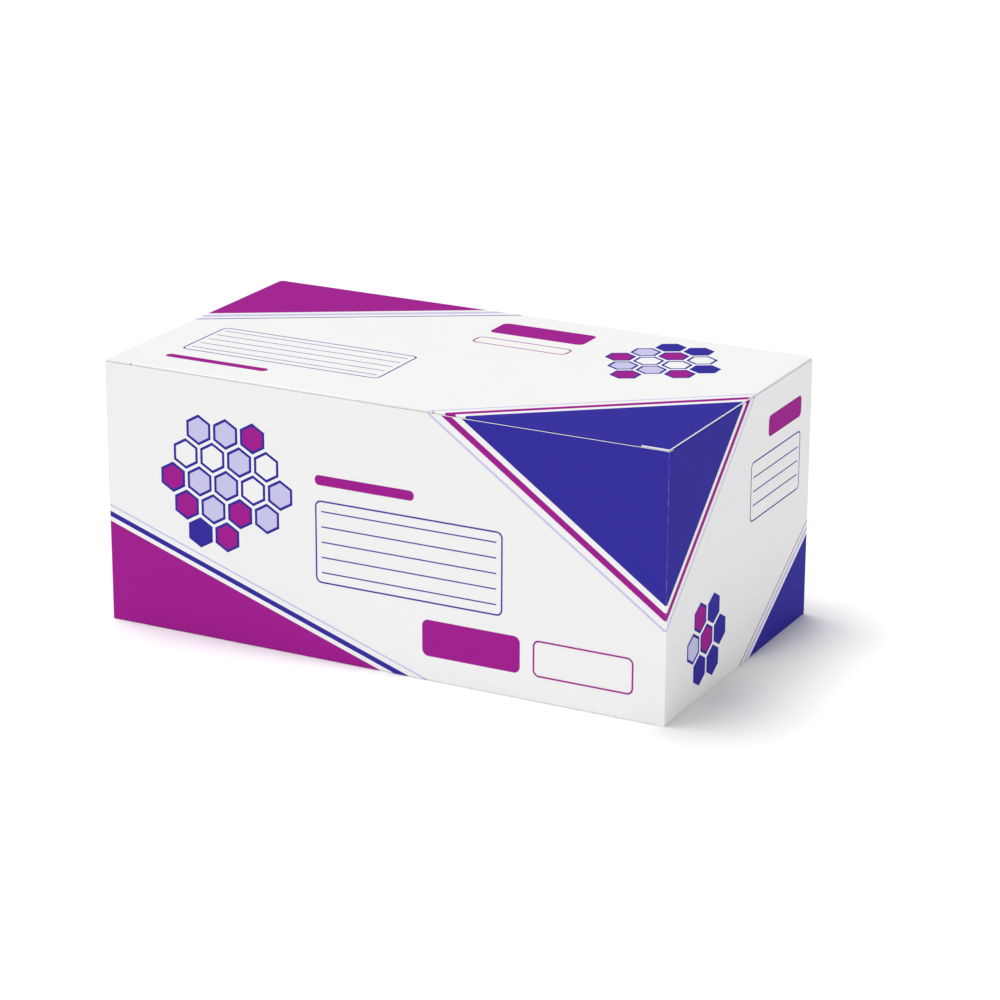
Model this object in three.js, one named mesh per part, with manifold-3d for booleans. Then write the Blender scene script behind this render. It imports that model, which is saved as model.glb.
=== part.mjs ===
// A tuck-top folding carton of printed board, closed and standing on its base.
// Millimetres, +Z up, +X along the front and -Y out of it. The origin is the middle of the base.

import * as THREE from "three";
import { mergeVertices } from "three/addons/utils/BufferGeometryUtils.js";
import Module from "manifold-3d";

// Outside of the closed carton
const length = 180;
const depth = 100;
const height = 80;

// Board, folds and clearances
const board = 0.45;
const foldInside = 0.3; // inside radius of the upright folds between the walls
const foldGap = 0.3; // from a wall's edge to the flap that folds from it
const glueGap = 0.1; // between two glued layers
const slipGap = 0.3; // between the tuck flap and the front wall
const restGap = 0.1; // between the lid and the dust flaps it rests on
const arcSteps = 3; // pairs of straight steps in a quarter turn

// Seam of the walls, at the back left corner
const seamFlapWidth = 14;
const seamFlapTaper = 3; // drawn in at its free edge, above and below
const seamEdgeSetback = 0.3; // from the back's face to the cut edge of the left wall

// Lid, with its locking slits at the ends of the front crease and a cut near the middle of it
const lidSideSetback = 0.2;
const lipReach = 0.6; // how far the cut stretches stand out of the crease
const slitLength = 8.7;
const thumbCutLength = 23.7;
const thumbCutOffset = 5.9; // from the carton's middle to the cut's middle

// Tuck flap
const tuckLength = 16;
const tuckLean = 7; // degrees inward from upright
const tuckSideSetback = 1.2;
const tuckDraw = 4; // how far each side draws in at the free edge
const tuckCorner = 9;
const tuckShoulder = 1; // drop of its top edge along the slits and the cut

// Dust flaps
const dustLength = 60;
const dustFrontSetback = 2.5; // from the front's face
const dustBackSetback = 1.6; // from the back's face
const dustBackTaper = 27.5; // degrees, so that a rising flap stays under the lid
const dustFrontDraw = 5;
const dustCorner = 8;

// Flaps of the glued base
const minorLength = 62;
const innerMajorLength = 70;
const outerEdgeSetback = 1; // from the front's face to the outer flap's free edge
const baseSideSetback = 0.6; // from the walls' faces to the major flaps' side edges
const minorSideSetback = 1.5; // from the front and back faces to the minor flaps' sides
const baseCorner = 3;

// Colours of the finished surfaces
const printedWhite = 0xf1f1f0;
const plainWhite = 0xe9e7e2;

const wasm = await Module();
wasm.setup();

const rightFace = length / 2;
const backFace = depth / 2;
const halfBoard = board / 2;
const creaseZ = height - halfBoard; // height of the lid's two creases
const lidUnderside = height - board;
const wallTop = lidUnderside - foldGap;
const dustZ = lidUnderside - restGap - halfBoard; // middle of a dust flap
const endWallTop = dustZ - halfBoard - foldGap;
const outerMajorTop = board;
const innerMajorBottom = outerMajorTop + glueGap;
const innerMajorTop = innerMajorBottom + board;
const minorBottom = innerMajorTop + glueGap;
const minorTop = minorBottom + board;
const hingeY = backFace - halfBoard; // the lid's crease on the back wall
const tuckCreaseY = -(backFace - board - slipGap - halfBoard);
const foldOutside = foldInside + board;

function radians(degrees) {
  return THREE.MathUtils.degToRad(degrees);
}

// Draws a line to a corner and an arc round it that touches both of its sides.
function turnCorner(path, before, corner, after, radius) {
  if (radius === 0) {
    path.lineTo(corner.x, corner.y);
    return;
  }
  const comingIn = corner.clone().sub(before).normalize();
  const goingOut = after.clone().sub(corner).normalize();
  const side = Math.sign(comingIn.cross(goingOut));
  const turn = Math.acos(comingIn.dot(goingOut));
  const toCentre = new THREE.Vector2(-comingIn.y, comingIn.x).multiplyScalar(side);
  const centre = corner.clone()
    .addScaledVector(comingIn, -radius * Math.tan(turn / 2))
    .addScaledVector(toCentre, radius);
  const from = Math.atan2(-toCentre.y, -toCentre.x);
  path.absarc(centre.x, centre.y, radius, from, from + side * turn, side < 0);
}

// A closed outline through rows of x, y and corner radius.
function outline(rows) {
  const corners = rows.map(([x, y]) => new THREE.Vector2(x, y));
  const count = corners.length;
  const start = corners[0].clone().lerp(corners[count - 1], 0.5);
  const shape = new THREE.Shape().moveTo(start.x, start.y);
  rows.forEach(([, , radius = 0], i) => {
    turnCorner(shape, corners.at(i - 1), corners[i], corners[(i + 1) % count], radius);
  });
  return shape.closePath();
}

// One side of a bent strip: its centre line moved sideways, with a fold's arc at each corner.
function stripSide(corners, offset, foldRadius) {
  const normals = corners.slice(1).map((corner, i) => {
    const along = corner.clone().sub(corners[i]).normalize();
    return new THREE.Vector2(-along.y, along.x);
  });
  const moved = corners.map((corner, i) => {
    const before = normals[Math.max(i - 1, 0)];
    const after = normals[Math.min(i, normals.length - 1)];
    const mitre = offset / (1 + before.dot(after));
    return corner.clone().addScaledVector(before, mitre).addScaledVector(after, mitre);
  });
  const path = new THREE.Path().moveTo(moved[0].x, moved[0].y);
  for (let i = 1; i < moved.length - 1; i += 1) {
    const side = Math.sign(normals[i - 1].cross(normals[i]));
    turnCorner(path, moved[i - 1], moved[i], moved[i + 1], foldRadius - side * offset);
  }
  path.lineTo(moved.at(-1).x, moved.at(-1).y);
  return path.getPoints(arcSteps);
}

function extrude(shape, thickness) {
  return new THREE.ExtrudeGeometry(shape, {
    depth: thickness,
    bevelEnabled: false,
    curveSegments: arcSteps * 2,
  });
}

function solidOf(geometry) {
  const bare = geometry.clone();
  bare.deleteAttribute("normal");
  bare.deleteAttribute("uv");
  const merged = mergeVertices(bare);
  return new wasm.Manifold(new wasm.Mesh({
    numProp: 3,
    vertProperties: merged.attributes.position.array,
    triVerts: new Uint32Array(merged.index.array),
  }));
}

function geometryOf(solid) {
  const { vertProperties, triVerts } = solid.getMesh();
  const geometry = new THREE.BufferGeometry();
  geometry.setAttribute("position", new THREE.BufferAttribute(vertProperties, 3));
  geometry.setIndex(new THREE.BufferAttribute(triVerts, 1));
  geometry.computeVertexNormals();
  return geometry;
}

// A block between two corners, for trimming.
function block(low, high) {
  const size = high.clone().sub(low);
  const middle = low.clone().lerp(high, 0.5);
  return new THREE.BoxGeometry(size.x, size.y, size.z).translate(middle.x, middle.y, middle.z);
}

function piece(name, geometry, colour) {
  const material = new THREE.MeshStandardMaterial({ color: colour, roughness: 0.42, metalness: 0 });
  const mesh = new THREE.Mesh(geometry, material);
  mesh.name = name;
  return mesh;
}

// A level plate from a plan outline, with its lower face at z.
function plate(name, rows, z, colour) {
  const mesh = piece(name, extrude(outline(rows), board), colour);
  mesh.position.z = z;
  return mesh;
}

// The four walls and the seam flap: one sheet bent round a plan, with its edges trimmed.
function wallSleeve() {
  const seamX = -(rightFace - board - glueGap - halfBoard);
  const wallX = rightFace - halfBoard;
  const seamFlapEdge = backFace - seamFlapWidth;
  const route = [
    [seamX, seamFlapEdge],
    [seamX, hingeY],
    [wallX, hingeY],
    [wallX, -hingeY],
    [-wallX, -hingeY],
    [-wallX, backFace - seamEdgeSetback],
  ].map(([x, y]) => new THREE.Vector2(x, y));
  const foldRadius = foldInside + halfBoard;
  const leftSide = stripSide(route, halfBoard, foldRadius);
  const rightSide = stripSide(route, -halfBoard, foldRadius);
  const plan = new THREE.Shape([...leftSide, ...rightSide.reverse()]);
  const bottom = outerMajorTop + foldGap;
  const sheet = extrude(plan, wallTop - bottom).translate(0, 0, bottom);

  const beyond = foldOutside; // how far the trimming blocks run past the walls
  const frontEdge = block(
    new THREE.Vector3(-rightFace - beyond, -backFace - beyond, bottom - beyond),
    new THREE.Vector3(rightFace + beyond, foldOutside - backFace, innerMajorTop + foldGap),
  );
  const endFloor = minorTop + foldGap;
  const endSpan = backFace - foldOutside;
  const endEdges = [-1, 1].flatMap((side) => {
    const inner = side * (rightFace - foldOutside);
    const outer = side * (rightFace + beyond);
    const low = Math.min(inner, outer);
    const high = Math.max(inner, outer);
    return [
      block(
        new THREE.Vector3(low, -endSpan, bottom - beyond),
        new THREE.Vector3(high, endSpan, endFloor),
      ),
      block(
        new THREE.Vector3(low, -endSpan, endWallTop),
        new THREE.Vector3(high, endSpan, wallTop + beyond),
      ),
    ];
  });

  let solid = solidOf(sheet);
  for (const cut of [frontEdge, ...endEdges, ...seamFlapTrims(endFloor)]) {
    solid = solid.subtract(solidOf(cut));
  }
  return piece("wall_sleeve", geometryOf(solid), printedWhite);
}

// Wedges that taper the seam flap above and below. They stay clear of the left wall it is glued to.
function seamFlapTrims(endFloor) {
  const outside = -(rightFace - board - glueGap / 2);
  const inside = outside + foldOutside;
  const flapEdge = backFace - seamFlapWidth;
  const root = backFace - foldOutside;
  return [[endWallTop, -1], [endFloor, 1]].map(([z, inward]) => {
    const tip = z + inward * seamFlapTaper;
    const past = z - inward * foldOutside;
    const wedge = new THREE.Shape([
      new THREE.Vector2(root, z),
      new THREE.Vector2(flapEdge, tip),
      new THREE.Vector2(flapEdge - board, tip),
      new THREE.Vector2(flapEdge - board, past),
      new THREE.Vector2(root, past),
    ]);
    const cut = extrude(wedge, inside - outside);
    cut.rotateY(Math.PI / 2);
    cut.rotateX(Math.PI / 2);
    return cut.translate(outside, 0, 0);
  });
}

// The stretches of the front crease that are cut through: both slits and the cut near the middle.
function cutStretches(sideEdge) {
  const slitStart = rightFace - slitLength;
  const cutStart = thumbCutOffset - thumbCutLength / 2;
  return [
    [-sideEdge, -slitStart],
    [cutStart, cutStart + thumbCutLength],
    [slitStart, sideEdge],
  ];
}

function lidPanel() {
  const side = rightFace - lidSideSetback;
  const lipY = tuckCreaseY - lipReach;
  const frontEdge = cutStretches(side).flatMap(([from, to]) => [
    [from, tuckCreaseY],
    [from, lipY],
    [to, lipY],
    [to, tuckCreaseY],
  ]);
  const rows = [[side, hingeY], [-side, hingeY], ...frontEdge.slice(1, -1)];
  return plate("lid_panel", rows, lidUnderside, printedWhite);
}

// Drawn downwards from the crease, then stood up behind the front wall and leant inwards.
function tuckFlap() {
  const top = -(halfBoard + foldGap);
  const side = rightFace - tuckSideSetback;
  const topEdge = cutStretches(side).flatMap(([from, to]) => [
    [from, top],
    [from, top - tuckShoulder],
    [to, top - tuckShoulder],
    [to, top],
  ]);
  const rows = [
    ...topEdge.slice(1, -1),
    [side - tuckDraw, -tuckLength, tuckCorner],
    [-side + tuckDraw, -tuckLength, tuckCorner],
  ];
  const mesh = piece("tuck_flap", extrude(outline(rows), board).translate(0, 0, -halfBoard), plainWhite);
  mesh.rotation.x = Math.PI / 2 + radians(tuckLean);
  const crease = new THREE.Group();
  crease.position.set(0, tuckCreaseY, creaseZ);
  crease.add(mesh);
  return crease;
}

function dustFlap(name, side) {
  const crease = side * (rightFace - halfBoard);
  const tip = crease - side * dustLength;
  const front = dustFrontSetback - backFace;
  const back = backFace - dustBackSetback;
  const tipBack = back - dustLength * Math.tan(radians(dustBackTaper));
  const rows = [
    [crease, front],
    [tip, front + dustFrontDraw, dustCorner],
    [tip, tipBack, dustCorner],
    [crease, back],
  ];
  return plate(name, rows, dustZ - halfBoard, plainWhite);
}

function baseMinorFlap(name, side) {
  const crease = side * (rightFace - halfBoard);
  const tip = crease - side * minorLength;
  const edge = backFace - minorSideSetback;
  const rows = [
    [crease, -edge],
    [tip, -edge, baseCorner],
    [tip, edge, baseCorner],
    [crease, edge],
  ];
  return plate(name, rows, minorBottom, plainWhite);
}

function baseMajorFlap(name, creaseY, freeY, z) {
  const side = rightFace - baseSideSetback;
  const rows = [
    [-side, creaseY],
    [-side, freeY, baseCorner],
    [side, freeY, baseCorner],
    [side, creaseY],
  ];
  return plate(name, rows, z, plainWhite);
}

const carton = new THREE.Group();
carton.add(
  wallSleeve(),
  lidPanel(),
  tuckFlap(),
  dustFlap("dust_flap_left", -1),
  dustFlap("dust_flap_right", 1),
  baseMinorFlap("base_minor_flap_left", -1),
  baseMinorFlap("base_minor_flap_right", 1),
  baseMajorFlap("base_inner_flap", -hingeY, innerMajorLength - backFace, innerMajorBottom),
  baseMajorFlap("base_outer_flap", hingeY, outerEdgeSetback - backFace, 0),
);

export default carton;
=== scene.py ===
# A closed folding carton of printed board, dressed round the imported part.
import math

import bpy
import numpy as np
from mathutils import Matrix, Vector


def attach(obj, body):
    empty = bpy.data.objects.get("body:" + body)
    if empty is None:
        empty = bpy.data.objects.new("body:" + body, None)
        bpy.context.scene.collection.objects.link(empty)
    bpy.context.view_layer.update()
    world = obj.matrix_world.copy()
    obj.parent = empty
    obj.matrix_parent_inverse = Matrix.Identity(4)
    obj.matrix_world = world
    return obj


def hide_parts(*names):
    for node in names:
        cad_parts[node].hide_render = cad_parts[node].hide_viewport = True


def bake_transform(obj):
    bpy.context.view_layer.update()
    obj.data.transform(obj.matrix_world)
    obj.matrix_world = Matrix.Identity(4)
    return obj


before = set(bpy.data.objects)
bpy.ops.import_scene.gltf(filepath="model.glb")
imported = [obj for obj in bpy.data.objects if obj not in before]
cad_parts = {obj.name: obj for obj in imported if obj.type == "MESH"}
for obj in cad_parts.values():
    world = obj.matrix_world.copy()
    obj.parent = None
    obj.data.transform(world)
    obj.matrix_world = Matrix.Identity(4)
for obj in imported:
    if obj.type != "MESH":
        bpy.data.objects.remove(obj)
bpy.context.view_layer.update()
toMetres = 0.001

# Camera, fitted to the seven corners of the carton that can be seen: place in metres,
# angles in degrees, lens and sensor in millimetres
cameraSettings = {
    "place": (0.4535, -0.8545, 0.3657),
    "azimuth": 27.256,
    "elevation": 18.792,
    "roll": 0.267,
    "lens": 124.9,
    "sensor": 36.0,
    "clip": (0.05, 30.0),
}


# It looks along forward. Level and upward are its axes before the roll turns them.
def placeCamera(s):
    lens = bpy.data.cameras.new("photo_camera")
    lens.lens, lens.sensor_width = s["lens"], s["sensor"]
    lens.clip_start, lens.clip_end = s["clip"]
    camera = bpy.data.objects.new("photo_camera", lens)
    bpy.context.scene.collection.objects.link(camera)
    azimuth, elevation, roll = (math.radians(s[key]) for key in ("azimuth", "elevation", "roll"))
    flat = math.cos(elevation)
    forward = np.array([-math.sin(azimuth) * flat, math.cos(azimuth) * flat, -math.sin(elevation)])
    level = np.cross(forward, [0, 0, 1])
    level /= np.linalg.norm(level)
    upward = np.cross(level, forward)
    right = level * math.cos(roll) + upward * math.sin(roll)
    up = np.cross(right, forward)
    turn = np.eye(4)
    turn[:3, 0], turn[:3, 1], turn[:3, 2], turn[:3, 3] = right, up, -forward, s["place"]
    camera.matrix_world = Matrix(turn.tolist())
    bpy.context.scene.camera = camera


placeCamera(cameraSettings)
print("camera placed")

# The carton, in millimetres: outside size, board and folds, and how finely they are drawn
carton = {
    "length": 180.0,
    "depth": 100.0,
    "height": 80.0,
    "board": 0.45,
    "layerGap": 0.1,  # between boards that lie on each other
    "tuckGap": 0.3,  # between the front wall and the tuck flap behind it
    "tuckTurn": 97.0,  # degrees that the tuck flap's fold turns
    "foldMiddle": 0.3,  # middle radius of the folds of the flaps
    "cornerMiddle": 0.375,  # middle radius of the upright folds between the walls
    "leastPlate": 0.35,  # least length of a flap's plate past its shoulder, at its side edges
    "bow": 0.08,  # how far the middle of a wall stands out
    "foldSteps": 12,
    "creaseColumns": 25,
    "nearFold": (0.6, 1.6),  # a row of points stands this far from each fold and edge
    "foldReach": 5.0,  # distances from a fold are counted up to here
    "wholeInk": 0.2,  # added to the distances on a flap's fold, so that its ink stays whole
    "sharpTurn": 35.0,  # edges that turn by more degrees are shaded sharp
}
halfBoard = carton["board"] / 2
halfLength, halfDepth = carton["length"] / 2, carton["depth"] / 2
lidMiddleZ = carton["height"] - halfBoard
dustMiddleZ = carton["height"] - carton["board"] - carton["layerGap"] - halfBoard
backMiddleY = halfDepth - halfBoard
endMiddleX = halfLength - halfBoard
tuckCreaseY = -(halfDepth - carton["board"] - carton["tuckGap"] - halfBoard)
faceGap = 1000.0  # third number of a face point: this much for each face's number
faceNumbers = {"front": 0, "right": 1, "back": 2, "left": 3, "top": 4, "bottom": 5}
onSameFace = 50.0  # how near the third number has to come for a print to show
noPrint = 9 * faceGap  # a face point's numbers where the board isn't printed


# name's mesh: a sheet of board round a grid of middle points, half the board's
# thickness out along the normals and half in, over the cells that are kept. Each cell
# side with no kept neighbour is closed by a rim, which is the cut edge of the board.
def buildSheet(name, middle, normal, keep, finishes, facePoint, foldDistance, bleed):
    count = middle.shape[0] * middle.shape[1]
    index = np.arange(count).reshape(middle.shape[:2])
    cells = np.stack([index[:-1, :-1], index[1:, :-1], index[1:, 1:], index[:-1, 1:]], -1)[keep]
    points, normals = middle.reshape(-1, 3), normal.reshape(-1, 3)
    along = points[cells[:, 1]] - points[cells[:, 0]]
    across = points[cells[:, 3]] - points[cells[:, 0]]
    if (np.cross(along, across) * normals[cells[:, 0]]).sum() < 0:
        cells = cells[:, ::-1]
    start, end = cells.ravel(), np.roll(cells, -1, 1).ravel()
    rim = ~np.isin(start * count + end, end * count + start)
    rims = np.stack([end[rim], start[rim], start[rim] + count, end[rim] + count], -1)
    faces = np.concatenate([cells, cells[:, ::-1] + count, rims])
    materialIndex = np.repeat([0, 1, 2], [len(cells), len(cells), len(rims)])
    used, faces = np.unique(faces, return_inverse=True)
    faces = faces.reshape(-1, 4)
    vertices = np.concatenate([points + normals * halfBoard, points - normals * halfBoard])[used]

    mesh = bpy.data.meshes.new(name)
    mesh.from_pydata((vertices * toMetres).tolist(), [], faces.tolist())
    mesh.polygons.foreach_set("material_index", materialIndex.astype(np.int32))
    mesh.polygons.foreach_set("use_smooth", np.ones(len(faces), bool))
    for finish in finishes:
        mesh.materials.append(finish)
    for label, kind, field, values in (
        ("restPoint", "FLOAT_VECTOR", "vector", points),
        ("facePoint", "FLOAT_VECTOR", "vector", facePoint.reshape(-1, 3)),
        ("foldDistance", "FLOAT", "value", foldDistance.reshape(-1)),
        ("bleed", "FLOAT", "value", bleed.reshape(-1)),
    ):
        both = np.concatenate([values, values])[used].astype(np.float32)
        mesh.attributes.new(label, kind, "POINT").data.foreach_set(field, both.ravel())
    mesh.set_sharp_from_angle(angle=math.radians(carton["sharpTurn"]))
    mesh.validate()
    piece = bpy.data.objects.new(name, mesh)
    bpy.context.scene.collection.objects.link(piece)
    return piece


# Numbers spread evenly from low to high, with the extra ones that lie between them.
def stations(low, high, count, extra=()):
    inside = [value for value in extra if min(low, high) < value < max(low, high)]
    values = np.unique(np.round(np.concatenate([np.linspace(low, high, count), inside]), 4))
    return values if low < high else values[::-1]


# Where a board that folds at a crease has got to: how far on along its first
# direction, how far in, and the angle turned. It goes straight, then round an arc whose
# middle radius is foldMiddle, then straight again. Distance 0 is where the arc starts.
def foldPath(distance, turn):
    radius, full = carton["foldMiddle"], math.radians(turn)
    angle = np.clip(distance / radius, 0, full)
    past = np.maximum(distance - radius * full, 0)
    onward = (-radius * math.tan(full / 2) + np.minimum(distance, 0)
              + radius * np.sin(angle) + past * math.cos(full))
    inward = radius * (1 - np.cos(angle)) + past * math.sin(full)
    return onward, inward, angle


# Length of a fold's arc, and how far from the crease line it starts and ends.
def arcLength(turn):
    return carton["foldMiddle"] * math.radians(turn)


def arcTangent(turn):
    return carton["foldMiddle"] * math.tan(math.radians(turn) / 2)


# Points and outward normals of a folded strip: distance (rows) along the fold path and
# sideways (columns) along the crease.
def foldedGrid(crease, distance, sideways):
    onward, inward, angle = foldPath(distance, crease["turn"])
    first, inside, line = (np.array(crease[key], float) for key in ("first", "inside", "line"))
    points = (np.array(crease["point"], float) + onward[..., None] * first
              + inward[..., None] * inside + sideways[..., None] * line)
    return points, np.sin(angle)[..., None] * first - np.cos(angle)[..., None] * inside


# Creases: a point on the line where the two boards' middles cross, the direction in which
# the board comes to it, the side it folds to, the line's direction and the turn in degrees
creaseHeadings = ("point", "first", "inside", "line", "turn")
creases = {name: dict(zip(creaseHeadings, row)) for name, *row in (
    ("lid", (0, backMiddleY, lidMiddleZ), (0, 0, 1), (0, -1, 0), (1, 0, 0), 90.0),
    ("tuck", (0, tuckCreaseY, lidMiddleZ), (0, -1, 0), (0, 0, -1), (1, 0, 0), carton["tuckTurn"]),
    ("dustLeft", (-endMiddleX, 0, dustMiddleZ), (0, 0, 1), (1, 0, 0), (0, 1, 0), 90.0),
    ("dustRight", (endMiddleX, 0, dustMiddleZ), (0, 0, 1), (-1, 0, 0), (0, 1, 0), 90.0),
    ("baseOuter", (0, backMiddleY, halfBoard), (0, 0, -1), (0, -1, 0), (1, 0, 0), 90.0),
    ("baseInner", (0, -backMiddleY, halfBoard), (0, 0, -1), (0, 1, 0), (1, 0, 0), 90.0),
    ("minorLeft", (-endMiddleX, 0, halfBoard), (0, 0, -1), (1, 0, 0), (0, 1, 0), 90.0),
    ("minorRight", (endMiddleX, 0, halfBoard), (0, 0, -1), (-1, 0, 0), (0, 1, 0), 90.0),
)}


# A face point: how far right and how far up of the face's middle, as one who looks at
# that face from outside sees it, and the face's number times faceGap.
def faceGrid(points, face):
    x, y, z = points[..., 0], points[..., 1], points[..., 2] - carton["height"] / 2
    across, up = {
        "front": (x, z), "right": (y, z), "back": (-x, z), "left": (-y, z), "top": (x, y), "bottom": (x, -y),
    }[face]
    return np.stack([across, up, np.full(x.shape, faceGap * faceNumbers[face])], -1)


def showPiece(piece, body, slot, *nodes):
    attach(piece, body)
    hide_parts(*nodes)
    return piece


# The four walls and the seam flap, in millimetres
wallSettings = {
    "seamFlap": 14.0,
    "seamTaper": 3.0,  # the seam flap's free edge is this much shorter, above and below
    "seamHalf": 39.0,  # half the height over which it tapers
    "leftSetback": 0.3,
    "bottom": halfBoard + arcTangent(90),
    "seamBottom": 1.2,
    "cornerBottom": 0.05,
    "backTop": lidMiddleZ - arcTangent(90),
    "frontTop": 79.45,
    "endTop": dustMiddleZ - arcTangent(90),
    "cornerTop": 79.3,
    "seamTop": 78.5,
    "dustFront": -47.5,
    "dustBack": 48.4,
    "minorReach": 48.5,
    "majorReach": 87.2,
    "foldMark": 48.9,  # an end wall's last column of points before its upright fold
    "columns": 27,
    "seamColumns": 5,
    "rows": (2.6, 77.4, 16),  # lowest, highest, number
    "nearLow": 0.6,  # the rows next to the edges lie between these two heights
    "nearHigh": 78.3,
    "bowLow": 1.0,  # the walls stand out between these two heights
    "bowHigh": 79.0,
}


# One sheet whose plan runs from the seam flap's free edge round the corners to the left
# wall's cut edge. A column of the grid is a place on that route and a row is a height;
# cells above or below a wall's own edges are left out. Over its share u of a wall's length
# and v of its height a point stands out by bow * (1 - (2u - 1)^2)^2 * (1 - (2v - 1)^2)^2.
def makeWalls(s, finishes):
    radius = carton["cornerMiddle"]
    seamX = -(halfLength - carton["board"] - carton["layerGap"] - halfBoard)
    straight = backMiddleY - radius
    endX = endMiddleX - radius
    endMarks = (s["dustFront"], s["dustBack"], -s["minorReach"], s["minorReach"],
                -s["foldMark"], s["foldMark"])
    longMarks = (s["majorReach"], -s["majorReach"])
    # name, start point, end point and outward normal of each straight stretch of the route
    walls = [
        ("seam", (seamX, halfDepth - s["seamFlap"]), (seamX, straight), (-1, 0)),
        ("back", (seamX + radius, backMiddleY), (endX, backMiddleY), (0, 1)),
        ("right", (endMiddleX, straight), (endMiddleX, -straight), (1, 0)),
        ("front", (endX, -backMiddleY), (-endX, -backMiddleY), (0, -1)),
        ("left", (-endMiddleX, -straight), (-endMiddleX, halfDepth - s["leftSetback"]), (-1, 0)),
    ]
    places, normals, names, foldDistances, offsets = [], [], [], [], []
    for number, (name, start, end, outward) in enumerate(walls):
        start, end, outward = (np.array(value, float) for value in (start, end, outward))
        size = np.linalg.norm(end - start)
        axis = int(abs(end[1] - start[1]) > abs(end[0] - start[0]))
        count = s["seamColumns"] if name == "seam" else s["columns"]
        along = stations(start[axis], end[axis], count, endMarks if axis else longMarks)
        near = [[step / size, 1 - step / size] for step in carton["nearFold"]]
        share = np.concatenate([(along - start[axis]) / (end[axis] - start[axis])] + near)
        share = np.unique(np.round(share, 6))
        distance = np.minimum(share, 1 - share) * size + radius * math.pi / 4
        if name == "seam":
            distance = (1 - share) * size + radius * math.pi / 4
        if name == "left":
            distance = share * size + radius * math.pi / 4
        places.append(start + (end - start) * share[:, None])
        normals.append(np.tile(outward, (len(share), 1)))
        names += [name] * len(share)
        foldDistances.append(distance)
        offsets.append(np.zeros(len(share)) if name == "seam" else (1 - (2 * share - 1) ** 2) ** 2)
        if number < len(walls) - 1:  # the upright fold to the next wall
            following = np.array(walls[number + 1][3], float)
            angle = np.linspace(0, math.pi / 2, carton["foldSteps"] + 1)[1:-1, None]
            centre = end - outward * radius
            normal = np.cos(angle) * outward + np.sin(angle) * following
            places.append(centre + normal * radius)
            normals.append(normal)
            names += ["corner"] * len(angle)
            foldDistances.append(np.abs(angle[:, 0] - math.pi / 4) * radius)
            offsets.append(np.zeros(len(angle)))
    place, outward = np.concatenate(places), np.concatenate(normals)
    foldDistance, offset = np.concatenate(foldDistances), np.concatenate(offsets)
    names = np.array(names)

    bottoms = {"seam": s["seamBottom"], "back": s["bottom"], "right": s["bottom"], "front": s["bottom"],
               "left": s["bottom"], "corner": s["cornerBottom"]}
    tops = {"seam": s["seamTop"], "back": s["backTop"], "right": s["endTop"], "front": s["frontTop"],
            "left": s["endTop"], "corner": s["cornerTop"]}
    edges = sorted({*bottoms.values(), *tops.values()})
    near = [edge + sign * step for edge in edges for step in carton["nearFold"] for sign in (-1, 1)]
    near = [height for height in near if s["nearLow"] < height < s["nearHigh"]]
    heights = np.unique(np.round(np.concatenate([edges, near, np.linspace(*s["rows"])]), 4))

    # which cells stay: the edges of the wall that a column interval lies on
    pairName = np.where(names[:-1] == names[1:], names[:-1], "corner")
    middleX, middleY = (place[:-1] + place[1:]).T / 2
    low = np.array([bottoms[name] for name in pairName])
    high = np.array([tops[name] for name in pairName])
    onEnd = np.isin(pairName, ["right", "left"])
    onLong = np.isin(pairName, ["front", "back"])
    low = np.where(onEnd & (np.abs(middleY) > s["minorReach"]), s["cornerBottom"], low)
    low = np.where(onLong & (np.abs(middleX) > s["majorReach"]), s["cornerBottom"], low)
    high = np.where(onEnd & ((middleY < s["dustFront"]) | (middleY > s["dustBack"])), s["cornerTop"], high)
    middleZ = (heights[:-1] + heights[1:]) / 2
    keep = (middleZ > low[:, None]) & (middleZ < high[:, None])

    share = np.clip((heights - s["bowLow"]) / (s["bowHigh"] - s["bowLow"]), 0, 1)
    bow = carton["bow"] * offset[:, None] * ((1 - (2 * share - 1) ** 2) ** 2)[None, :]
    middle = np.zeros((len(place), len(heights), 3))
    middle[..., :2] = place[:, None, :] + outward[:, None, :] * bow[..., None]
    # the seam flap narrows towards its free edge
    taper = np.where(names == "seam", (place[:, 1] - (halfDepth - s["seamFlap"])) / s["seamFlap"], 1.0)
    narrow = 1 - (1 - taper) * s["seamTaper"] / s["seamHalf"]
    halfHeight = carton["height"] / 2
    middle[..., 2] = halfHeight + (heights[None, :] - halfHeight) * narrow[:, None]
    normal = np.zeros_like(middle)
    normal[..., :2] = outward[:, None, :]

    # the seam flap goes on with the left wall's print, and a fold with the front's or back's
    faces = np.where(names == "seam", "left", names)
    faces = np.where(names == "corner", np.where(place[:, 1] < 0, "front", "back"), faces)
    facePoint = np.zeros_like(middle)
    for face in ("front", "right", "back", "left"):
        facePoint[faces == face] = faceGrid(middle, face)[faces == face]
    noEdge = 1e3  # stands for an edge without a fold, far out of reach
    topEdge = np.array([tops[name] if name in ("back", "right", "left") else noEdge for name in names])
    bottomEdge = np.array([bottoms[name] if name != "corner" else -noEdge for name in names])
    toEdge = np.minimum(topEdge[:, None] - heights, heights - bottomEdge[:, None]) + arcLength(90) / 2
    fold = np.minimum(np.minimum(foldDistance[:, None], np.abs(toEdge)), carton["foldReach"])
    bleed = np.zeros(fold.shape)
    piece = buildSheet("carton_walls", middle, normal, keep, finishes, facePoint, fold, bleed)
    return showPiece(piece, "carton", "printed_board", "wall_sleeve")


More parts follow.
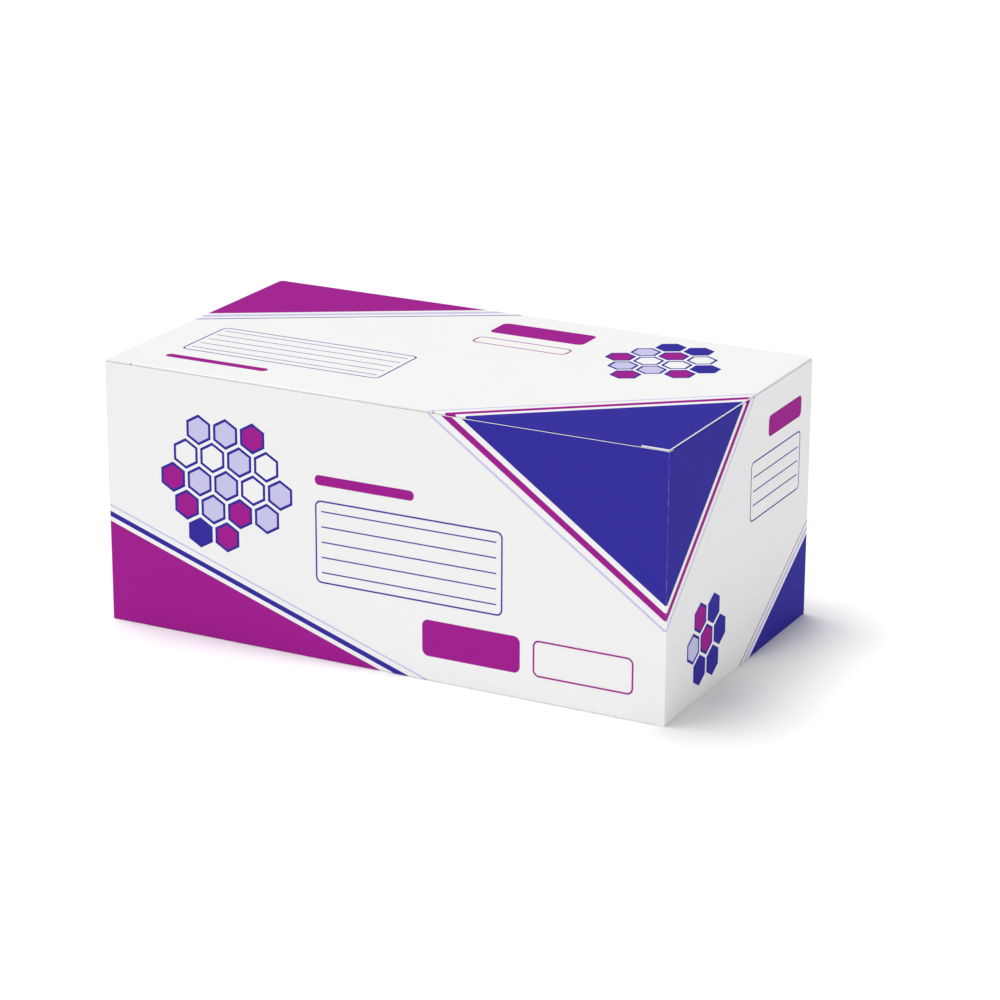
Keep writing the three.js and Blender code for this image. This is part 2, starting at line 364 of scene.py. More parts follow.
# The lid, in millimetres: its raw side edges, its back crease and the cuts in its front one
lidSettings = {
    "side": 89.8,
    "lipReach": 0.6,
    "hinge": 89.2,
    "hingeFrom": 49.2,  # from here back the lid is as wide as its hinge
    "slitStart": 81.3,
    "cutLow": -5.95,
    "cutHigh": 17.75,
    "nick": 0.15,  # gap at each end of a cut
    "columns": 33,
    "rows": (-45.0, 46.0, 14),  # first, last, number
    "lastRow": 48.2,
}
foldedStretches = [
    (-lidSettings["slitStart"], lidSettings["cutLow"]),
    (lidSettings["cutHigh"], lidSettings["slitStart"]),
]


# True where x lies on a folded stretch of the front crease, widened by more at each end.
def onFold(x, more=0.0):
    return np.any([(x > low - more) & (x < high + more) for low, high in foldedStretches], axis=0)


# A plate from the back fold's arc to the front fold's. Its last row of cells stands out past
# the front crease, and is kept only where the crease is cut. It stands up in its middle by
# bow * (1 - u^2)^2 * (1 - v^2)^2, where u and v are the shares of half its size.
def makeLid(s, finishes):
    backY = backMiddleY - arcTangent(90)
    frontY = tuckCreaseY + arcTangent(carton["tuckTurn"])
    lipY = tuckCreaseY - s["lipReach"]
    marks = [edge + step for low, high in foldedStretches for edge, step in
             ((low, -s["nick"]), (low, 0), (high, 0), (high, s["nick"]))]
    x = stations(-s["side"], s["side"], s["columns"], marks)
    near, farther = carton["nearFold"]
    y = np.concatenate([[lipY, frontY, frontY + near, frontY + farther], np.linspace(*s["rows"]),
                        [s["lastRow"], backY - near, backY]])
    middle = np.zeros((len(x), len(y), 3))
    middle[..., 0], middle[..., 1] = x[:, None], y[None, :]
    middle[0, y > s["hingeFrom"], 0] = -s["hinge"]
    middle[-1, y > s["hingeFrom"], 0] = s["hinge"]
    u, v = x[:, None] / s["side"], y[None, :] / backY
    middle[..., 2] = lidMiddleZ + carton["bow"] * (1 - u ** 2) ** 2 * np.clip(1 - v ** 2, 0, 1) ** 2
    normal = np.zeros_like(middle)
    normal[..., 2] = 1
    keep = np.ones((len(x) - 1, len(y) - 1), bool)
    keep[:, 0] = ~onFold((x[:-1] + x[1:]) / 2, s["nick"])
    toFront = y - frontY + arcLength(carton["tuckTurn"]) / 2
    toFront = np.where(onFold(x)[:, None], toFront, carton["foldReach"])
    fold = np.clip(np.minimum(backY - y + arcLength(90) / 2, toFront), 0, carton["foldReach"])
    bleed = np.zeros(fold.shape)
    piece = buildSheet("lid_board", middle, normal, keep, finishes, faceGrid(middle, "top"), fold, bleed)
    return showPiece(piece, "lid", "printed_board", "lid_panel")


# Flaps, in millimetres: length from the crease, ends along it, how far the sides draw in
# towards the far edge, and the radius of the far corners
tuckSettings = {
    "length": 16.0,
    "side": 88.8,
    "draw": 4.0,
    "corner": 9.0,
    "shoulder": 1.5,  # where the crease is cut, the flap starts this far from it
}
dustSettings = {
    "length": 60.0,
    "front": wallSettings["dustFront"],
    "back": wallSettings["dustBack"],
    "frontDraw": 5.0,
    "backTaper": 27.5,  # in degrees
    "corner": 8.0,
}
baseSettings = {
    "side": wallSettings["majorReach"],
    "outerLength": 97.0,
    "innerLength": 69.775,
    "minorSide": wallSettings["minorReach"],
    "minorLength": 62.0,
    "corner": 3.0,
    "draw": 0.3,
    "ramp": 2.1,  # a flap on top of another climbs on to it within this distance
    "innerRise": 0.55,
    "minorRise": 1.1,
}
# How finely flaps are drawn
flapDrawing = {
    "sideStart": 1.0,  # a side of the outline starts this far past the fold's arc
    "cornerSteps": 10,
    "outlineStep": 6.0,  # straight stretches are cut into steps at least this long
    "rampRows": 6,
    "firstRow": 1.0,  # without a ramp, the first row past the arc
    "rows": 14,
}


# A flap's outline, as points of how far along the crease and how far from it. Its sides draw
# in from low and high, and its far corners are arcs: each touches both sides at
# radius * tan(turn / 2) from the corner, and its centre is radius / cos(turn / 2) from it.
def roundedFlap(low, high, drawLow, drawHigh, length, radius, start):
    corners = [(low, start), (low + drawLow, length), (high - drawHigh, length), (high, start)]
    outline = [np.array([[low, start + flapDrawing["sideStart"]]])]
    for before, corner, after in zip(corners[:-2], corners[1:-1], corners[2:]):
        before, corner, after = (np.array(point, float) for point in (before, corner, after))
        comingIn = (corner - before) / np.linalg.norm(corner - before)
        goingOut = (after - corner) / np.linalg.norm(after - corner)
        turn = math.acos(float(comingIn @ goingOut))
        touch = radius * math.tan(turn / 2)
        toCentre = (goingOut - comingIn) / np.linalg.norm(goingOut - comingIn)
        centre = corner + toCentre * radius / math.cos(turn / 2)
        first = corner - comingIn * touch - centre
        side = np.sign(comingIn[0] * goingOut[1] - comingIn[1] * goingOut[0])
        angle = np.linspace(0, side * turn, flapDrawing["cornerSteps"] + 1)[:, None]
        across = np.array([-first[1], first[0]])
        outline.append(centre + np.cos(angle) * first + np.sin(angle) * across)
    outline.append(np.array([[high, start + flapDrawing["sideStart"]]]))
    points = np.concatenate(outline)
    finer = [points[:1]]
    for one, two in zip(points[:-1], points[1:]):  # long stretches get points between
        steps = max(1, int(np.linalg.norm(two - one) // flapDrawing["outlineStep"]))
        finer.append(one + (two - one) * (np.arange(1, steps + 1) / steps)[:, None])
    return np.concatenate(finer)


# A flap beyond its fold. Columns run along the crease, through the outline's points and the
# marks; rows go from the start of the plate (or of the arc) out to the outline. A flap that
# lies on another rises by rise * c^2 * (3 - 2c), where c is the share of the ramp climbed.
def makeFlap(name, crease, outline, finishes, face=None, arc=False, marks=(), shoulder=None,
             dropped=None, rise=0.0):
    turn = creases[crease]["turn"]
    tangent, length = arcTangent(turn), arcLength(turn)
    low, high = outline[0, 0], outline[-1, 0]
    columns = np.concatenate([outline[:, 0], [mark for mark in marks if low < mark < high]])
    columns = np.unique(np.round(columns, 4))
    ramp = np.array([0, flapDrawing["firstRow"]])
    if rise:
        ramp = baseSettings["ramp"] * np.linspace(0, 1, flapDrawing["rampRows"] + 1)
    first = shoulder or tangent + ramp[-1]
    reach = np.maximum(np.interp(columns, outline[:, 0], outline[:, 1]), first + carton["leastPlate"])
    share = np.linspace(0, 1, flapDrawing["rows"] + 1)[1:]
    arcRows = np.linspace(0, length, carton["foldSteps"] + 1)[:-1] if arc else np.zeros(0)
    nearRows = np.tile(np.append(tangent + ramp[:-1], first), (len(columns), 1))
    plateRows = np.concatenate([nearRows, first + (reach[:, None] - first) * share], 1)
    distance = np.concatenate([np.tile(arcRows, (len(columns), 1)), plateRows - tangent + length], 1)
    sideways = np.repeat(columns[:, None], distance.shape[1], 1)
    middle, normal = foldedGrid(creases[crease], distance, sideways)
    climbed = np.clip((distance - length) / ramp[-1], 0, 1)
    middle[..., 2] += rise * climbed ** 2 * (3 - 2 * climbed)
    keep = np.ones((len(columns) - 1, distance.shape[1] - 1), bool)
    if dropped is not None:
        keep[dropped((columns[:-1] + columns[1:]) / 2), 0] = False
    facePoint = faceGrid(middle, face) if face else np.full(middle.shape, noPrint)
    fold = np.clip(np.abs(distance - length / 2) + carton["wholeInk"], 0, carton["foldReach"])
    bleed = np.maximum(distance - length / 2, 0)
    return buildSheet(name, middle, normal, keep, finishes, facePoint, fold, bleed)


# The rounded strip of board at a crease that opens. It bends between its two boards, from the
# inner side of its first row to that of its last.
def makeCrease(name, crease, low, high, finishes, flapSide=True, marks=(), kept=None):
    length = arcLength(creases[crease]["turn"])
    columns = stations(low, high, carton["creaseColumns"], marks)
    rows = np.linspace(0, length, carton["foldSteps"] + 1)
    distance, sideways = np.meshgrid(rows, columns)
    middle, normal = foldedGrid(creases[crease], distance, sideways)
    keep = np.ones((len(columns) - 1, len(rows) - 1), bool)
    if kept is not None:
        keep[~kept((columns[:-1] + columns[1:]) / 2)] = False
    face = "top" if crease in ("lid", "tuck") else "right"
    fold = np.abs(distance - length / 2) + (carton["wholeInk"] if flapSide else 0.0)
    bleed = np.maximum(distance - length / 2, 0) if flapSide else np.zeros(fold.shape)
    piece = buildSheet(name, middle, normal, keep, finishes, faceGrid(middle, face), fold, bleed)
    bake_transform(piece)
    return piece


def makeFlaps(tuck, dust, base, finishes):
    cutEnds = [end for stretch in foldedStretches for end in stretch]
    outline = roundedFlap(-tuck["side"], tuck["side"], tuck["draw"], tuck["draw"], tuck["length"],
                          tuck["corner"], arcTangent(carton["tuckTurn"]))
    piece = makeFlap("tuck_board", "tuck", outline, finishes, marks=cutEnds, shoulder=tuck["shoulder"],
                     dropped=lambda x: ~onFold(x))
    showPiece(piece, "tuck_flap", "plain_board", "tuck_flap")
    slit, hinge = lidSettings["slitStart"], lidSettings["hinge"]
    makeCrease("tuck_crease", "tuck", -slit, slit, finishes, marks=cutEnds, kept=onFold)
    makeCrease("lid_crease", "lid", -hinge, hinge, finishes, flapSide=False)

    tangent = arcTangent(90)
    backDraw = dust["length"] * math.tan(math.radians(dust["backTaper"]))
    outline = roundedFlap(dust["front"], dust["back"], dust["frontDraw"], backDraw, dust["length"],
                          dust["corner"], tangent)
    for side, crease in (("left", "dustLeft"), ("right", "dustRight")):
        body = "dust_flap_" + side
        showPiece(makeFlap("dust_board_" + side, crease, outline, finishes), body, "plain_board", body)
        makeCrease("dust_crease_" + side, crease, dust["front"], dust["back"], finishes)

    outline = roundedFlap(-base["minorSide"], base["minorSide"], base["draw"], base["draw"],
                          base["minorLength"], base["corner"], tangent)
    for side, crease in (("left", "minorLeft"), ("right", "minorRight")):
        piece = makeFlap("base_minor_" + side, crease, outline, finishes, arc=True, rise=base["minorRise"])
        showPiece(piece, "carton", "plain_board", "base_minor_flap_" + side)
    for name, node, crease, length, rise in (
            ("base_inner", "base_inner_flap", "baseInner", base["innerLength"], base["innerRise"]),
            ("base_outer", "base_outer_flap", "baseOuter", base["outerLength"], 0.0)):
        outline = roundedFlap(-base["side"], base["side"], base["draw"], base["draw"], length,
                              base["corner"], tangent)
        piece = makeFlap(name, crease, outline, finishes, face="bottom", arc=True, rise=rise)
        showPiece(piece, "carton", "plain_board", node)


# Inks, as sRGB hex
inks = {"blue": "#363098", "magenta": "#9C228B", "lavender": "#C4C1E4", "white": "#ECECEC"}
reliefDepth = 0.0002  # of the board's grain and fibres, in metres


# sRGB hex to linear: a part p becomes p / 12.92 when it is small, else ((p + 0.055) / 1.055)^2.4.
def linearColour(text):
    parts = [int(text[i:i + 2], 16) / 255 for i in (1, 3, 5)]
    return tuple(p / 12.92 if p <= 0.04045 else ((p + 0.055) / 1.055) ** 2.4 for p in parts) + (1.0,)


def emptyMaterial(name):
    material = bpy.data.materials.new(name)
    material.use_nodes = True
    material.node_tree.nodes.clear()
    return material, material.node_tree


# A node of one kind, with its settings, and with its sockets linked or given a value.
def addNode(tree, kind, sockets=None, **settings):
    node = tree.nodes.new(kind)
    for key, value in settings.items():
        setattr(node, key, value)
    for key, value in (sockets or {}).items():
        if isinstance(value, bpy.types.NodeSocket):
            tree.links.new(value, node.inputs[key])
        else:
            node.inputs[key].default_value = value
    return node


# Turns a ramp's colours into steps, each from its share on.
def setSteps(ramp, steps):
    elements = ramp.color_ramp.elements
    ramp.color_ramp.interpolation = "CONSTANT"
    while len(elements) < len(steps):
        elements.new(0.5)
    for element, (share, colour) in zip(elements, steps):
        element.position = share
    for element, (share, colour) in zip(elements, steps):
        element.color = colour


# Corner fields of ink: a plane cuts each corner of the carton at these distances along its
# three edges, so that a field's straight edge runs on over the folds. The signs say which
# corner. Two stripes lie outside it, at shares of the same distances.
fieldHeadings = ("corner", "reach", "field", "stripe", "line")
cornerFields = [dict(zip(fieldHeadings, row)) for row in (
    ((1, -1, 1), (64.0, 50.0, 45.0), "blue", "magenta", "lavender"),
    ((-1, -1, -1), (92.0, 44.0, 31.0), "magenta", "blue", "lavender"),
    ((-1, 1, 1), (74.0, 44.0, 40.0), "magenta", "lavender", "blue"),
    ((1, 1, -1), (66.0, 42.0, 26.0), "blue", "lavender", "magenta"),
)]
fieldShares = {
    "fieldEnd": 1.0,
    "stripeStart": 1.045,
    "stripeEnd": 1.1,
    "lineStart": 1.15,
    "lineEnd": 1.17,
    "whole": 1.5,
}


# Ink colour and mask of one corner field at restPoint: the three distances from the corner,
# each over its reach, are added up, and a stepped ramp turns the sum into inks.
def cornerInk(tree, restPoint, field, shares):
    sides, reach = np.array(field["corner"], float), np.array(field["reach"])
    whole = shares["whole"]
    edge = np.array([halfLength, halfDepth, carton["height"] if sides[2] > 0 else 0.0])
    start = float((edge / reach).sum())
    slope = tuple(-sides / reach / whole)
    dot = addNode(tree, "ShaderNodeVectorMath", {0: restPoint, 1: slope}, operation="DOT_PRODUCT")
    total = addNode(tree, "ShaderNodeMath", {0: dot.outputs["Value"], 1: start / whole}, operation="ADD")
    ramp = addNode(tree, "ShaderNodeValToRGB", {0: total.outputs[0]})
    setSteps(ramp, [(share / whole, linearColour(inks[ink])[:3] + (alpha,)) for share, ink, alpha in (
        (0.0, field["field"], 1), (shares["fieldEnd"], "white", 0),
        (shares["stripeStart"], field["stripe"], 1), (shares["stripeEnd"], "white", 0),
        (shares["lineStart"], field["line"], 1), (shares["lineEnd"], "white", 0))])
    return ramp.outputs["Color"], ramp.outputs["Alpha"]


# Blank labels: face, middle, half size, corner radius, ink, line width, and the spacing of
# the thin lines to write on, in millimetres. A line width of 0 fills the label, and a
# spacing of 0 leaves it without lines.
labelHeadings = ("face", "at", "half", "round", "ink", "line", "rules")
blankLabels = [dict(zip(labelHeadings, row)) for row in (
    ("front", (10.0, -4.0), (30.0, 12.5), 2.0, "blue", 0.5, 4.6),
    ("front", (-4.0, 14.5), (16.0, 1.5), 1.4, "magenta", 0.0, 0.0),
    ("front", (30.0, -27.0), (15.5, 5.5), 2.0, "magenta", 0.0, 0.0),
    ("front", (65.0, -27.0), (15.5, 5.5), 2.0, "magenta", 0.55, 0.0),
    ("top", (-44.0, -17.0), (33.0, 12.5), 2.0, "blue", 0.5, 4.6),
    ("top", (-60.0, -37.0), (17.0, 1.5), 1.4, "magenta", 0.0, 0.0),
    ("top", (10.0, 34.0), (15.5, 5.5), 2.0, "magenta", 0.0, 0.0),
    ("top", (10.0, 20.0), (15.5, 3.2), 2.0, "magenta", 0.55, 0.0),
    ("right", (24.0, 11.0), (18.0, 9.0), 1.8, "blue", 0.45, 4.2),
    ("right", (30.0, 27.5), (12.0, 3.2), 1.6, "magenta", 0.0, 0.0),
    ("left", (22.0, 21.0), (18.0, 8.5), 1.8, "blue", 0.45, 4.2),
    ("left", (28.0, 5.0), (12.0, 3.2), 1.6, "magenta", 0.0, 0.0),
    ("back", (-12.0, 14.0), (33.0, 12.5), 2.0, "blue", 0.5, 4.6),
    ("back", (-28.0, -7.0), (17.0, 1.5), 1.4, "magenta", 0.0, 0.0),
    ("back", (12.0, -27.0), (15.5, 5.5), 2.0, "magenta", 0.0, 0.0),
)]
ruleHalf = 0.2  # half the thickness of a line to write on
ruleEnd = 0.01  # how far past the straight part of the label's sides it runs


# Mask of one blank label: a box with rounded corners round its middle, which is inked where
# the distance to the box less the radius is below 0, or within the line's width of it.
def labelMask(tree, facePoint, label):
    radius, line, spacing = label["round"], label["line"], label["rules"]
    middle = label["at"] + (faceGap * faceNumbers[label["face"]],)
    core = (label["half"][0] - radius, label["half"][1] - radius, onSameFace)
    away = addNode(tree, "ShaderNodeVectorMath", {0: facePoint, 1: middle}, operation="SUBTRACT")
    size = addNode(tree, "ShaderNodeVectorMath", {0: away.outputs[0]}, operation="ABSOLUTE")
    past = addNode(tree, "ShaderNodeVectorMath", {0: size.outputs[0], 1: core}, operation="SUBTRACT")
    outside = addNode(tree, "ShaderNodeVectorMath", {0: past.outputs[0], 1: (0, 0, 0)}, operation="MAXIMUM")
    length = addNode(tree, "ShaderNodeVectorMath", {0: outside.outputs[0]}, operation="LENGTH")
    reach = length.outputs["Value"]
    if not line:
        return addNode(tree, "ShaderNodeMath", {0: reach, 1: radius}, operation="LESS_THAN").outputs[0]
    rim = {0: reach, 1: radius - line / 2, 2: line / 2}
    mask = addNode(tree, "ShaderNodeMath", rim, operation="COMPARE").outputs[0]
    if not spacing:
        return mask
    split = addNode(tree, "ShaderNodeSeparateXYZ", {0: away.outputs[0]})
    repeat = {0: split.outputs["Y"], 1: spacing / 2, 2: -spacing / 2}
    wave = addNode(tree, "ShaderNodeMath", repeat, operation="WRAP")
    rule = addNode(tree, "ShaderNodeMath", {0: wave.outputs[0], 1: 0.0, 2: ruleHalf}, operation="COMPARE")
    inside = addNode(tree, "ShaderNodeMath", {0: reach, 1: ruleEnd}, operation="LESS_THAN")
    ruled = addNode(tree, "ShaderNodeMath", {0: rule.outputs[0], 1: inside.outputs[0]}, operation="MULTIPLY")
    return addNode(tree, "ShaderNodeMath", {0: mask, 1: ruled.outputs[0]}, operation="MAXIMUM").outputs[0]


# Clusters of six-sided cells, in millimetres, and the share of the cells from which each
# filling starts
cellSettings = {
    "width": 9.0,
    "gap": 0.45,
    "line": 0.8,
    "outline": "blue",
    "fillings": [(0.0, "lavender"), (0.42, "white"), (0.66, "magenta"), (0.8, "blue")],
    "clusters": [  # face, middle and radius
        ("front", (-50.0, 9.0), 19.0), ("top", (52.0, 24.0), 17.0), ("right", (-22.5, -23.4), 14.0),
        ("back", (54.0, -16.0), 19.0), ("left", (-24.0, -14.0), 15.0),
    ],
}


# Colour and mask of the cells: the face point is wrapped into two lattices of rectangles,
# the nearer centre is its cell's, and the distance to the cell's six sides gives gap, line
# and filling. Cells whose centre lies in a cluster are inked, and noise on the centre picks
# the filling.
def cellInk(tree, facePoint, s):
    width, tall = s["width"], s["width"] * math.sqrt(3)
    half = (width / 2, tall / 2, 0.0)
    level = {0: facePoint, 1: (1, 1, 0)}
    flat = addNode(tree, "ShaderNodeVectorMath", level, operation="MULTIPLY").outputs[0]
    moved = addNode(tree, "ShaderNodeVectorMath", {0: flat, 1: half}, operation="SUBTRACT").outputs[0]
    offsets = []
    for point in (flat, moved):
        lattice = {0: point, 1: (half[0], half[1], 1), 2: (-half[0], -half[1], -1)}
        wrap = addNode(tree, "ShaderNodeVectorMath", lattice, operation="WRAP").outputs[0]
        square = addNode(tree, "ShaderNodeVectorMath", {0: wrap, 1: wrap}, operation="DOT_PRODUCT")
        offsets.append((wrap, square.outputs["Value"]))
    (wrapOne, squareOne), (wrapTwo, squareTwo) = offsets
    nearer = addNode(tree, "ShaderNodeMath", {0: squareTwo, 1: squareOne}, operation="LESS_THAN").outputs[0]
    choice = {0: nearer, 4: wrapOne, 5: wrapTwo}
    offset = addNode(tree, "ShaderNodeMix", choice, data_type="VECTOR").outputs[1]
    centre = addNode(tree, "ShaderNodeVectorMath", {0: facePoint, 1: offset}, operation="SUBTRACT").outputs[0]
    size = addNode(tree, "ShaderNodeVectorMath", {0: offset}, operation="ABSOLUTE").outputs[0]
    slant = {0: size, 1: (0.5, math.sqrt(0.75), 0)}
    slanted = addNode(tree, "ShaderNodeVectorMath", slant, operation="DOT_PRODUCT").outputs["Value"]
    sideways = addNode(tree, "ShaderNodeSeparateXYZ", {0: size}).outputs["X"]
    reach = addNode(tree, "ShaderNodeMath", {0: sideways, 1: slanted}, operation="MAXIMUM").outputs[0]
    toSide = addNode(tree, "ShaderNodeMath", {0: width / 2, 1: reach}, operation="SUBTRACT").outputs[0]
    inCell = addNode(tree, "ShaderNodeMath", {0: toSide, 1: s["gap"]}, operation="GREATER_THAN").outputs[0]
    rim = {0: toSide, 1: s["gap"] + s["line"]}
    inFilling = addNode(tree, "ShaderNodeMath", rim, operation="GREATER_THAN").outputs[0]
    chosen = None
    for face, at, radius in s["clusters"]:
        middle = at + (faceGap * faceNumbers[face],)
        between = {0: centre, 1: middle}
        away = addNode(tree, "ShaderNodeVectorMath", between, operation="DISTANCE").outputs["Value"]
        inside = addNode(tree, "ShaderNodeMath", {0: away, 1: radius}, operation="LESS_THAN").outputs[0]
        chosen = inside if chosen is None else addNode(
            tree, "ShaderNodeMath", {0: chosen, 1: inside}, operation="MAXIMUM").outputs[0]
    # a whole number for each centre, which the noise turns into its share
    count = {0: centre, 1: (2 / width, 2 / tall, 1 / faceGap), 2: (0.5, 0.5, 0.5)}
    counted = addNode(tree, "ShaderNodeVectorMath", count, operation="MULTIPLY_ADD").outputs[0]
    whole = addNode(tree, "ShaderNodeVectorMath", {0: counted}, operation="FLOOR").outputs[0]
    pick = addNode(tree, "ShaderNodeTexWhiteNoise", {0: whole}, noise_dimensions="3D").outputs["Value"]
    ramp = addNode(tree, "ShaderNodeValToRGB", {0: pick})
    setSteps(ramp, [(share, linearColour(inks[ink])) for share, ink in s["fillings"]])
    layers = {0: inFilling, 6: linearColour(inks[s["outline"]]), 7: ramp.outputs[0]}
    colour = addNode(tree, "ShaderNodeMix", layers, data_type="RGBA").outputs[2]
    mask = addNode(tree, "ShaderNodeMath", {0: chosen, 1: inCell}, operation="MULTIPLY").outputs[0]
    return colour, mask


# White-coated folding boxboard, offset printed and varnished: an even satin white with
# flat inks, crisp edges, and a hairline of bare coating on each fold's ridge, which is partly
# ink that cracks on the fold and partly a painted highlight along the fold.
# The coating's fine unevenness is under 0.1 mm across, drawn at about 0.5 mm to show.
printedSettings = {
    "dark": "#EAEAEA",
    "pale": "#EEEEED",
    "roughness": 0.42,
    "roughnessSpread": 0.03,
    "patchLow": 0.3,  # patches of noise between these two spread the roughness
    "patchHigh": 0.7,
    "inkSmoother": 0.05,  # how much less rough the inked board is
    "specular": 0.006,
    "ior": 1.5,
    "unevenness": 0.05,
    "bleedEnd": 3.0,  # the ink ends this far past a flap's crease
    "crackAndSheen": 0.12,
    "bareAndSheenLine": -0.02,  # no ink within this distance of a ridge, plus the noise: partly cracks, partly painted highlight
    "foldWhole": 0.1,  # whole ink from here on
}


def printedBoard(s):
    material, tree = emptyMaterial("offset_printed_coated_boxboard")
    restPoint = addNode(tree, "ShaderNodeAttribute", attribute_name="restPoint").outputs["Vector"]
    facePoint = addNode(tree, "ShaderNodeAttribute", attribute_name="facePoint").outputs["Vector"]
    foldDistance = addNode(tree, "ShaderNodeAttribute", attribute_name="foldDistance").outputs["Fac"]
    bleed = addNode(tree, "ShaderNodeAttribute", attribute_name="bleed").outputs["Fac"]

    mottle = addNode(tree, "ShaderNodeTexNoise", {
        "Vector": restPoint, "Scale": 0.05, "Detail": 3.0, "Roughness": 0.6})
    coats = {0: mottle.outputs[0], 6: linearColour(s["dark"]), 7: linearColour(s["pale"])}
    board = addNode(tree, "ShaderNodeMix", coats, data_type="RGBA").outputs[2]
    colour, inked = board, None
    layers = [cornerInk(tree, restPoint, field, fieldShares) for field in cornerFields]
    layers.append(cellInk(tree, facePoint, cellSettings))
    layers += [(linearColour(inks[label["ink"]]), labelMask(tree, facePoint, label)) for label in blankLabels]
    for ink, mask in layers:
        colour = addNode(tree, "ShaderNodeMix", {0: mask, 6: colour, 7: ink}, data_type="RGBA").outputs[2]
        inked = mask if inked is None else addNode(
            tree, "ShaderNodeMath", {0: inked, 1: mask}, operation="MAXIMUM").outputs[0]
    # the ink ends a little past the crease on a flap; on a fold's ridge it is left off, as ink that
    # cracks there and as a painted highlight along the fold
    crackAndSheen = addNode(tree, "ShaderNodeTexNoise", {"Vector": restPoint, "Scale": 1.6, "Detail": 2.0})
    frayAndSheen = {0: crackAndSheen.outputs[0], 1: s["crackAndSheen"], 2: foldDistance}
    crackAndSheenReach = addNode(tree, "ShaderNodeMath", frayAndSheen, operation="MULTIPLY_ADD").outputs[0]
    ridge = {0: crackAndSheenReach, 1: s["bareAndSheenLine"], 2: s["foldWhole"]}
    whole = addNode(tree, "ShaderNodeMapRange", ridge, interpolation_type="SMOOTHSTEP").outputs[0]
    printed = addNode(tree, "ShaderNodeMath", {0: bleed, 1: s["bleedEnd"]}, operation="LESS_THAN").outputs[0]
    shown = addNode(tree, "ShaderNodeMath", {0: whole, 1: printed}, operation="MULTIPLY").outputs[0]
    colour = addNode(tree, "ShaderNodeMix", {0: shown, 6: board, 7: colour}, data_type="RGBA").outputs[2]

    patches = addNode(tree, "ShaderNodeTexNoise", {"Vector": restPoint, "Scale": 0.09, "Detail": 4.0})
    low, high = s["roughness"] - s["roughnessSpread"], s["roughness"] + s["roughnessSpread"]
    spread = {0: patches.outputs[0], 1: s["patchLow"], 2: s["patchHigh"], 3: low, 4: high}
    gloss = addNode(tree, "ShaderNodeMapRange", spread)
    smoother = {0: inked, 1: -s["inkSmoother"], 2: gloss.outputs[0]}
    roughness = addNode(tree, "ShaderNodeMath", smoother, operation="MULTIPLY_ADD").outputs[0]
    grain = addNode(tree, "ShaderNodeTexNoise", {"Vector": restPoint, "Scale": 2.0, "Detail": 2.0})
    relief = {"Strength": s["unevenness"], "Distance": reliefDepth, "Height": grain.outputs[0]}
    bump = addNode(tree, "ShaderNodeBump", relief)
    shader = addNode(tree, "ShaderNodeBsdfPrincipled", {
        "Base Color": colour, "Roughness": roughness, "IOR": s["ior"], "Specular IOR Level": s["specular"],
        "Normal": bump.outputs[0]})
    addNode(tree, "ShaderNodeOutputMaterial", {0: shader.outputs[0]})
    return material


# Uncoated reverse of the boxboard, pulp and recycled fibre: dull cream grey with short
# fibres along the grain. A fibre is about 0.03 mm thick, drawn at about 0.3 mm to show.
bareSettings = {
    "dark": "#E2DED3",
    "pale": "#EFECE4",
    "stretch": (0.5, 0.5, 3.0),  # how fine they are along x, y and z: long when level, thin in height
    "fibreShare": 0.6,
    "toneLow": 0.5,
    "toneHigh": 1.1,
    "relief": 0.25,
    "roughness": 0.9,
    "specular": 0.2,
}


def bareBoard(s):
    material, tree = emptyMaterial("uncoated_boxboard_reverse")
    restPoint = addNode(tree, "ShaderNodeAttribute", attribute_name="restPoint").outputs["Vector"]
    stretch = {0: restPoint, 1: s["stretch"]}
    stretched = addNode(tree, "ShaderNodeVectorMath", stretch, operation="MULTIPLY").outputs[0]
    fibres = addNode(tree, "ShaderNodeTexNoise", {
        "Vector": stretched, "Scale": 1.2, "Detail": 6.0, "Roughness": 0.65})
    cloud = addNode(tree, "ShaderNodeTexNoise", {"Vector": restPoint, "Scale": 0.12, "Detail": 3.0})
    blend = {0: fibres.outputs[0], 1: s["fibreShare"], 2: cloud.outputs[0]}
    both = addNode(tree, "ShaderNodeMath", blend, operation="MULTIPLY_ADD")
    tone = addNode(tree, "ShaderNodeMapRange", {0: both.outputs[0], 1: s["toneLow"], 2: s["toneHigh"]})
    shades = {0: tone.outputs[0], 6: linearColour(s["dark"]), 7: linearColour(s["pale"])}
    colour = addNode(tree, "ShaderNodeMix", shades, data_type="RGBA")
    relief = {"Strength": s["relief"], "Distance": reliefDepth, "Height": fibres.outputs[0]}
    bump = addNode(tree, "ShaderNodeBump", relief)
    shader = addNode(tree, "ShaderNodeBsdfPrincipled", {
        "Base Color": colour.outputs[2], "Roughness": s["roughness"], "Specular IOR Level": s["specular"],
        "Normal": bump.outputs[0]})
    addNode(tree, "ShaderNodeOutputMaterial", {0: shader.outputs[0]})
    return material


# Die-cut edge of the board: matt and slightly layered, and a shade greyer than its coating,
# which is partly the fibres' own tone and partly painted shade in the narrow cut.
cutSettings = {"dark": "#E3E2E3", "pale": "#EBEAEB", "roughness": 0.95, "specular": 0.2}


def cutBoard(s):
    material, tree = emptyMaterial("die_cut_boxboard_edge")
    restPoint = addNode(tree, "ShaderNodeAttribute", attribute_name="restPoint").outputs["Vector"]
    layers = addNode(tree, "ShaderNodeTexNoise", {"Vector": restPoint, "Scale": 4.0, "Detail": 3.0})
    shades = {0: layers.outputs[0], 6: linearColour(s["dark"]), 7: linearColour(s["pale"])}
    colour = addNode(tree, "ShaderNodeMix", shades, data_type="RGBA")
    shader = addNode(tree, "ShaderNodeBsdfPrincipled", {
        "Base Color": colour.outputs[2], "Roughness": s["roughness"], "Specular IOR Level": s["specular"]})
    addNode(tree, "ShaderNodeOutputMaterial", {0: shader.outputs[0]})
    return material


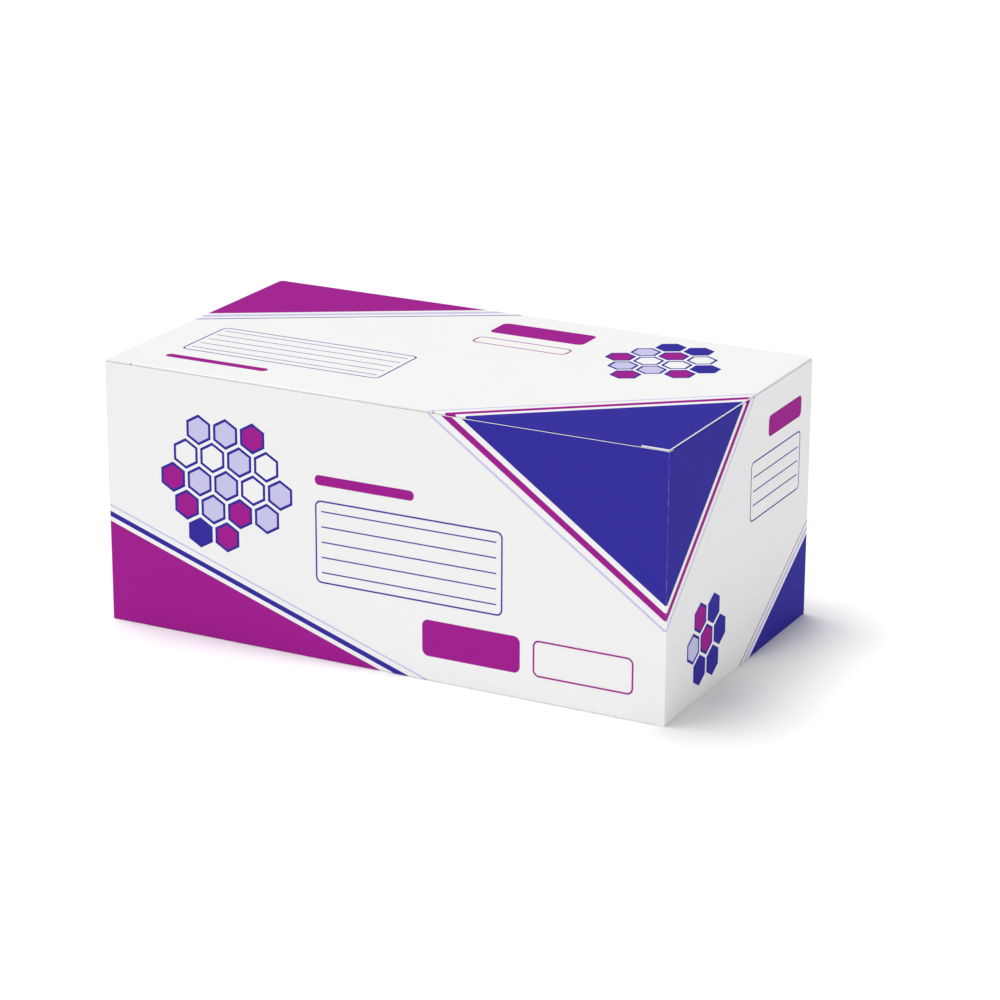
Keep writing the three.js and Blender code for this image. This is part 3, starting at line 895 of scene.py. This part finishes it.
finishes = [printedBoard(printedSettings), bareBoard(bareSettings), cutBoard(cutSettings)]
makeWalls(wallSettings, finishes)
makeLid(lidSettings, finishes)
makeFlaps(tuckSettings, dustSettings, baseSettings, finishes)
print("carton made")

# Floor and light. Strengths are shares of what makes pure white on a white sheet that faces
# the light, and the floor's sides are in metres.
stageSettings = {
    "floor": "#FDFDFD",
    "floorLow": (-6.0, -6.0),
    "floorHigh": (6.0, 8.0),
    "sky": 0.18,
    "lamps": [  # name, strength, azimuth (0 is in front, 90 to the right), elevation, softness in degrees
        ("key", 0.72, -83.0, 74.0, 32.0),
        ("fill", 0.632, 38.6, 11.0, 60.0),
        ("back", 0.12, -150.0, 50.0, 30.0),
    ],
}


def makeStage(s):
    (left, near), (right, far) = s["floorLow"], s["floorHigh"]
    mesh = bpy.data.meshes.new("floor")
    mesh.from_pydata([(left, near, 0), (right, near, 0), (right, far, 0), (left, far, 0)], [], [(0, 1, 2, 3)])
    material = bpy.data.materials.new("matt_white_floor")
    material.use_nodes = True
    shader = material.node_tree.nodes["Principled BSDF"]
    shader.inputs["Base Color"].default_value = linearColour(s["floor"])
    shader.inputs["Roughness"].default_value = 1.0
    shader.inputs["Specular IOR Level"].default_value = 0.0
    mesh.materials.append(material)
    floor = bpy.data.objects.new("floor", mesh)
    bpy.context.scene.collection.objects.link(floor)

    world = bpy.data.worlds.new("pale_room")
    bpy.context.scene.world = world
    world.use_nodes = True
    background = world.node_tree.nodes["Background"]
    background.inputs["Color"].default_value = (1, 1, 1, 1)
    background.inputs["Strength"].default_value = s["sky"]

    for name, strength, azimuth, elevation, softness in s["lamps"]:
        lamp = bpy.data.lights.new(name, "SUN")
        lamp.energy, lamp.angle = strength * math.pi, math.radians(softness)
        light = bpy.data.objects.new(name, lamp)
        bpy.context.scene.collection.objects.link(light)
        side, height = math.radians(azimuth), math.radians(elevation)
        flat = math.cos(height)
        towards = Vector((math.sin(side) * flat, -math.cos(side) * flat, math.sin(height)))
        light.rotation_euler = towards.to_track_quat("Z", "Y").to_euler()
    bpy.context.scene.view_settings.view_transform = "Standard"


makeStage(stageSettings)
print("stage made")
